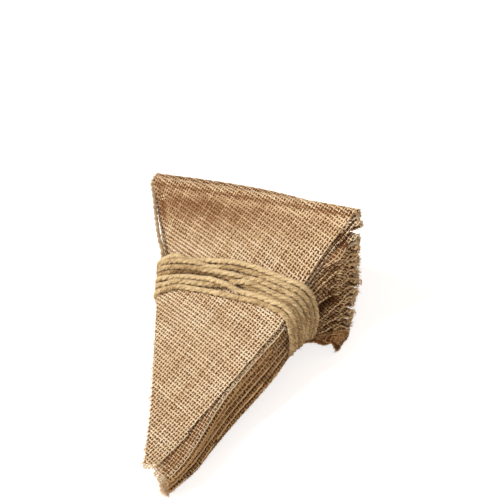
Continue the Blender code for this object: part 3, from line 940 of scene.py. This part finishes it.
def beside_stack(side, level, y):
    """A place on the pressed stack at y, and the way out of it. side runs from -1 at the left edge to 1
    at the right and level from 1 on top to -1 below; the corners are rounded by the way out."""
    spread = smooth((-46.0 - y) / 30.0)
    left_x = middle_x(0, y) - half_width(y)
    right_x = middle_x(0, y) + half_width(y) + max(EDGE_DRIFT) * spread
    x = left_x + (right_x - left_x) * (side + 1.0) / 2.0
    room = CLOTH / 2 + 0.25
    edge_x = np.where(side > 0, right_x, left_x)
    top = np.maximum(layer_height(0, x, y), layer_height(0, edge_x, y)) + room
    low = np.minimum(layer_height(FLAGS - 1, x, y), layer_height(FLAGS - 1, edge_x, y)) - room - 0.35
    low = low + 2.6 * smooth((side - 0.55) / 0.45)
    edge = smooth((np.abs(side) - 0.9) / 0.1)
    x = x + np.sign(side) * 0.6 * edge * (1.0 - 2.6 * np.maximum(-level, 0.0) ** 3)
    z = (top + low) / 2 + (top - low) / 2 * np.clip(level, -1.0, 1.0)
    outward = np.sign(side) * edge * (1.0 - 0.42 * np.abs(level) ** 4)
    way = np.stack([outward, 0.0 * side, np.sign(level) * np.abs(level) ** 2], axis=-1)
    return np.stack([x, y, z], axis=-1), unit(way)


def blurred(values, width):
    """Evens out each row with a bell of that many samples, the row being a closed loop."""
    reach = int(3 * width)
    t = np.arange(-reach, reach + 1)
    weights = np.exp(-0.5 * (t / width) ** 2)
    weights = weights / weights.sum()
    long = np.concatenate([values[:, -reach:], values, values[:, :reach]], axis=1)
    return np.array([np.convolve(row, weights, mode="valid") for row in long])


def wound_turns():
    """The line of each turn of twine, as turns by places by 3, from under the stack's left edge, up the
    left side, over the top, down the right side and back below. A turn that crosses those wound before it
    is lifted over them: two turns whose middles are d apart lie sqrt(TWINE^2 - d^2) one above the other."""
    left = [(-1.0, l) for l in np.linspace(-0.86, 0.86, 16)]
    top = [(s, 1.0) for s in np.linspace(-1.0, 1.0, 90)]
    right = [(1.0, l) for l in np.linspace(0.9, -0.9, 26)]
    below = [(s, -1.0) for s in np.linspace(1.0, -1.0, 60)]
    places = np.array(left + top + right + below)
    side, level = places.T
    count = len(TURNS_OVER)
    y = np.zeros((count, len(places)))
    x = TOP_FROM + (TOP_TO - TOP_FROM) * (np.array([s for s, _ in top]) + 1.0) / 2.0
    z = np.array([(TURN_Z[0] + TURN_Z[-1]) / 2.0 + (TURN_Z[0] - TURN_Z[-1]) / 2.0 * l for _, l in right])
    for j in range(count):
        after = TURNS_BELOW[(j + 1) % count]
        y[j, : len(left)] = np.linspace(TURNS_BELOW[j][1], TURNS_OVER[j][0], len(left))
        y[j, len(left): len(left) + len(top)] = curve_at(x, TURN_X, TURNS_OVER[j])
        y[j, len(left) + len(top): -len(below)] = curve_at(z, TURN_Z[::-1], TURNS_DOWN[j][::-1])
        t = smooth(np.linspace(0.0, 1.0, len(below)))
        y[j, -len(below):] = TURNS_BELOW[j][0] + (after[1] - TURNS_BELOW[j][0]) * t
    uneven = 0.42 * waves(np.arange(y.shape[1])[None], 47, count, longest=64.0)
    y = blurred(y + uneven, 2.2)
    lift = np.zeros_like(y)
    thick = 0.93 * TWINE
    # At the left edge and below, the turns are pulled down hard and bed into each other.
    left_cap = 0.45 + 1.3 * smooth((side + 1.0) / 0.35)
    cap = TWINE * np.where(level < -0.95, 0.5, np.where(side < 0, left_cap, 1.75))
    for j in range(count):
        need = np.zeros(y.shape[1])
        for i in range(j):
            apart = np.abs(y[j] - y[i])
            over = lift[i] + np.sqrt(np.maximum(thick**2 - apart**2, 0.0))
            need = np.maximum(need, np.where(apart < thick, over, 0.0))
        need = np.minimum(need, cap)
        lift[j] = np.maximum(blurred(need[None], 3.0)[0], blurred(need[None], 1.2)[0] * 0.85)
    place, way = beside_stack(side[None] + 0.0 * y, level[None] + 0.0 * y, y)
    place = np.stack([blurred(place[..., i], 2.6) for i in range(3)], axis=-1)
    way = unit(np.stack([blurred(way[..., i], 3.2) for i in range(3)], axis=-1))
    # Painted shade on each turn: how closely the turns wound after it lie over it.
    covered_shade = np.zeros_like(y)
    for j in range(count):
        for i in range(j + 1, count):
            covered_shade[j] += np.maximum(1.0 - np.abs(y[i] - y[j]) / (1.5 * TWINE), 0.0)
    return place + way * (TWINE / 2.0 + 0.3 + lift)[..., None], np.minimum(covered_shade, 1.6)


# Loose fibres that can be told apart: where each starts and where it ends.
LOOSE_FIBRES = [
    ((-12.1, -51.1, 53.0), (-2.1, -53.4, 51.6)),
    ((1.9, -35.5, 54.6), (11.9, -36.2, 54.2)),
    ((51.0, -59.4, 40.5), (62.1, -56.1, 39.0)),
    ((49.2, -58.2, 31.0), (41.0, -69.9, 24.0)),
    ((-59.1, 4.1, 73.0), (-61.1, 8.6, 73.6)),
    ((65.9, 1.9, 72.6), (67.0, 5.4, 73.0)),
]


def make_band(mat, loose_mat):
    """The binding: one twine along all the turns, with painted shade where later turns lie over it and low
    on the right side, with its standing fibres and the few loose ones."""
    lines, covered_shade = wound_turns()
    lines = lines.reshape(-1, 3)
    path = smooth_path(lines, 0.8)
    way_along = np.concatenate([[0.0], np.cumsum(np.linalg.norm(np.diff(lines, axis=0), axis=1))])
    place = np.linspace(0.0, way_along[-1], len(path))
    # Painted shade on the twine where later turns lie over it and low on the right side.
    dark = np.interp(place, way_along, covered_shade.reshape(-1))
    low_side_shade = 1.0 * smooth((path[:, 0] - 40.0) / 10.0) * smooth((48.0 - path[:, 2]) / 24.0)
    strands = twisted(path, TWINE * 1.04, 3, 12.5, 8, 200, swell=0.12, shade=-2.2 * dark - low_side_shade)
    obj = put_strands("binding_turns", strands, mat)
    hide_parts("twine_binding")
    rng = np.random.default_rng(31)
    along, side, other = carried_frames(path)
    i = rng.integers(2, len(path) - 2, 3000)
    t = rng.uniform(0.0, 2.0 * np.pi, (len(i), 1))
    out = side[i] * np.cos(t) + other[i] * np.sin(t)
    base = path[i] + out * TWINE * 0.46
    way = along[i] * rng.choice([-1.0, 1.0], (len(i), 1)) + out * rng.uniform(0.05, 0.75, (len(i), 1))
    long = rng.uniform(1.2, 5.0, len(i))
    make_hairs("binding_fibres", base, way, long, 0.075, mat, 32, inward=-out)
    ends = np.array(LOOSE_FIBRES)
    reach = np.linalg.norm(ends[:, 1] - ends[:, 0], axis=1)
    make_hairs("loose_fibres", ends[:, 0], ends[:, 1] - ends[:, 0], reach, 0.13, loose_mat, 35)


def make_hairs(name, base, way, length, radius, mat, seed, inward=None):
    """Loose fibres as thin closed tubes: each leaves its base along way and bends a little, as a parabola
    toward a random side, and with inward given also back toward the strand."""
    rng = np.random.default_rng(seed)
    count = len(base)
    way = unit(way)
    bend = rng.normal(0.0, 0.28, (count, 3))
    if inward is not None:
        bend = bend + inward * rng.uniform(0.0, 0.55, (count, 1))
    s = np.linspace(-0.12, 1.0, 4)
    reach = np.asarray(length)[:, None, None]
    along = s[None, :, None]
    centre = base[:, None] + way[:, None] * reach * along + bend[:, None] * reach * (along**2)
    centre[..., 2] = np.maximum(centre[..., 2], 0.12)
    direction = unit(np.gradient(centre, axis=1))
    normal = unit(np.cross(direction, [0.31, 0.52, 0.8]))
    inside = np.ones(centre.shape[:2], bool)
    thick = radius * rng.uniform(0.6, 1.3, (count, 1)) * np.linspace(1.1, 0.5, 4)
    tone = rng.uniform(0.3, 1.0, (count, 1)) + 0.0 * s
    return put_strands(name, tubes(centre, normal, direction, thick, thick, inside, 3, tone), mat)


def edge_fibres(rng, cloth, a, v, inner, spread, rise):
    """Where fibres start on a cut edge and which way they go: out from the place inner, up by rise along
    the cloth's outer side, and spread at random."""
    p, n = cloth.at(a, v)
    q, _ = cloth.at(inner, v)
    out = unit(p - q)
    return p, out + n * rise + rng.normal(0.0, spread, (len(v), 3))


def cloth_hairs(cloths, mat):
    """Fibres that stand off the cut edges, the hem ends, the tips, the hems and the top flag's face."""
    rng = np.random.default_rng(71)
    bases, ways, lengths = [], [], []

    def add(base, way, shortest, longest):
        bases.append(base)
        ways.append(way)
        lengths.append(rng.uniform(shortest, longest, len(base)))

    for cloth in cloths:
        many = 2.0 if cloth.k in (0, 1) else 1.0
        for sign, count, longest in ((-1.0, int(110 * many), 2.6), (1.0, int(50 * many), 1.5)):
            v = rng.uniform(0.0, cloth.length, count)
            a = sign * (cloth.half(v) - 0.4) / cloth.half(v)
            add(*edge_fibres(rng, cloth, a, v, a - sign * 0.05, 0.55, 0.1), 0.5, longest)
        for sign in (-1.0, 1.0):
            v = rng.uniform(-7.4, 0.5, 44)
            a = sign * np.ones(len(v))
            add(*edge_fibres(rng, cloth, a, v, a - sign * 0.04, 0.4, 0.9), 0.7, 2.0)
        a = rng.uniform(-1.0, 1.0, 34)
        p, _ = cloth.at(a, cloth.length + 0.0 * a)
        add(p, np.array([0.1, -1.0, 0.0]) + rng.normal(0.0, 0.5, (len(a), 3)), 1.0, 3.6)
        # On the top flag they stand off the whole face, and on the others off the hem.
        count = 60 if cloth.k else 520
        v = rng.uniform(-4.0, cloth.length, count)
        a = rng.uniform(-1.0, 1.0, count)
        if cloth.k:
            v = rng.uniform(-8.0, 1.0, count)
        p, n = cloth.at(a, v, 0.35)
        add(p, n * rng.uniform(0.2, 0.9, (count, 1)) + rng.normal(0.0, 0.6, (count, 3)), 0.5, 1.5)
    base, way, length = (np.concatenate(x) for x in (bases, ways, lengths))
    make_hairs("cloth_fibres", base, way, length, 0.085, mat, 72)


def floor_material():
    """A pale surface. Camera rays see it a little brighter than it lights the object, as a white sweep in
    a photograph is, so that only the close shadows show."""
    m = plain_material("pale floor", (0.70, 0.61, 0.53), 0.9)
    tree = m.node_tree
    bsdf = tree.nodes["Principled BSDF"]
    path = tree.nodes.new("ShaderNodeLightPath")
    bsdf.inputs["Emission Color"].default_value = (1.0, 1.0, 1.0, 1.0)
    glow = node(tree, "ShaderNodeMath", operation="MULTIPLY", in_1=0.76)
    tree.links.new(path.outputs["Is Camera Ray"], glow.inputs[0])
    tree.links.new(glow.outputs[0], bsdf.inputs["Emission Strength"])
    return m


def stand(obj, right, up, back, place):
    """Puts a camera or lamp, which looks against its own Z axis, by its three directions and its place."""
    axes = np.array([right, up, back]).T
    obj.matrix_world = Matrix([[*row, p] for row, p in zip(axes, place)] + [[0, 0, 0, 1]])


def aimed(lamp, toward):
    """Turns a lamp so that it shines along -toward."""
    back = np.array(toward) / np.linalg.norm(toward)
    side = np.cross([0.0, 0.0, 1.0], back)
    side = side / np.linalg.norm(side)
    stand(lamp, side, np.cross(back, side), back, back * 2.0)


def make_studio():
    """A pale floor, a dim even sky and two soft suns: the key from the upper left, and a weak one from
    the front."""
    corners = FLOOR_HALF * np.array([[-1, -1, 0], [1, -1, 0], [1, 1, 0], [-1, 1, 0]])
    floor = put_mesh("floor", corners - SHIFT, np.array([[0, 1, 2, 3]]), [], floor_material())
    scene = bpy.context.scene
    scene.view_settings.view_transform = "Standard"
    world = bpy.data.worlds.new("studio")
    world.use_nodes = True
    world.node_tree.nodes["Background"].inputs["Color"].default_value = (1.0, 1.0, 1.0, 1.0)
    world.node_tree.nodes["Background"].inputs["Strength"].default_value = SKY
    scene.world = world
    for name, toward, strength, spread in LAMPS:
        light = bpy.data.lights.new(name, "SUN")
        light.energy = strength
        light.angle = np.radians(spread)
        lamp = bpy.data.objects.new(name, light)
        scene.collection.objects.link(lamp)
        aimed(lamp, toward)


def make_camera():
    data = bpy.data.cameras.new("camera")
    data.lens = CAMERA_LENS
    data.sensor_width = 36.0
    data.clip_start = 0.01
    data.clip_end = 20.0
    cam = bpy.data.objects.new("camera", data)
    stand(cam, CAMERA_RIGHT, CAMERA_UP, CAMERA_BACK, (np.array(CAMERA_PLACE) + SHIFT) * MM)
    bpy.context.scene.collection.objects.link(cam)
    bpy.context.scene.camera = cam


make_camera()
make_studio()
fibre = fibre_group()
# The finishes: dark, middle and light colour, fineness of the fibres, size of the dye's patches, contrast,
# bump and sheen.
FINISHES = {
    "burlap yarn": ((0.32, 0.15, 0.062), (0.73, 0.50, 0.27), (0.99, 0.85, 0.62), 3.0, 90.0, 0.55, 0.5, 0.08),
    # A darker, warmer copy of the yarn finish: painted shade for the flags under the top three.
    "burlap yarn in painted shade": (
        (0.33, 0.135, 0.042), (0.68, 0.39, 0.155), (0.95, 0.67, 0.36), 3.0, 90.0, 0.6, 0.5, 0.08,
    ),
    # Near black: painted shade in the holes of the weave, on the sheet under the yarns.
    "burlap ground painted shade": (
        (0.048, 0.015, 0.003), (0.105, 0.038, 0.011), (0.18, 0.075, 0.024), 1.3, 140.0, 0.8, 0.4, 0.0,
    ),
    "jute twine": (
        (0.10, 0.042, 0.012), (0.37, 0.22, 0.082), (0.80, 0.60, 0.33), 2.5, 110.0, 0.95, 1.0, 0.08,
    ),
    "pale fibre": ((0.62, 0.52, 0.40), (0.82, 0.74, 0.62), (0.95, 0.90, 0.82), 2.5, 110.0, 0.5, 0.3, 0.1),
    "jute string": ((0.13, 0.07, 0.03), (0.34, 0.22, 0.11), (0.64, 0.48, 0.30), 2.5, 110.0, 0.6, 0.6, 0.08),
}
finish = {name: fibre_material(name, fibre, *values) for name, values in FINISHES.items()}
flags = make_flags(finish["burlap ground painted shade"], finish["burlap yarn"], finish["burlap yarn in painted shade"])
make_string(finish["jute string"])
make_band(finish["jute twine"], finish["pale fibre"])
cloth_hairs(flags, finish["burlap yarn"])

bpy.context.view_layer.update()
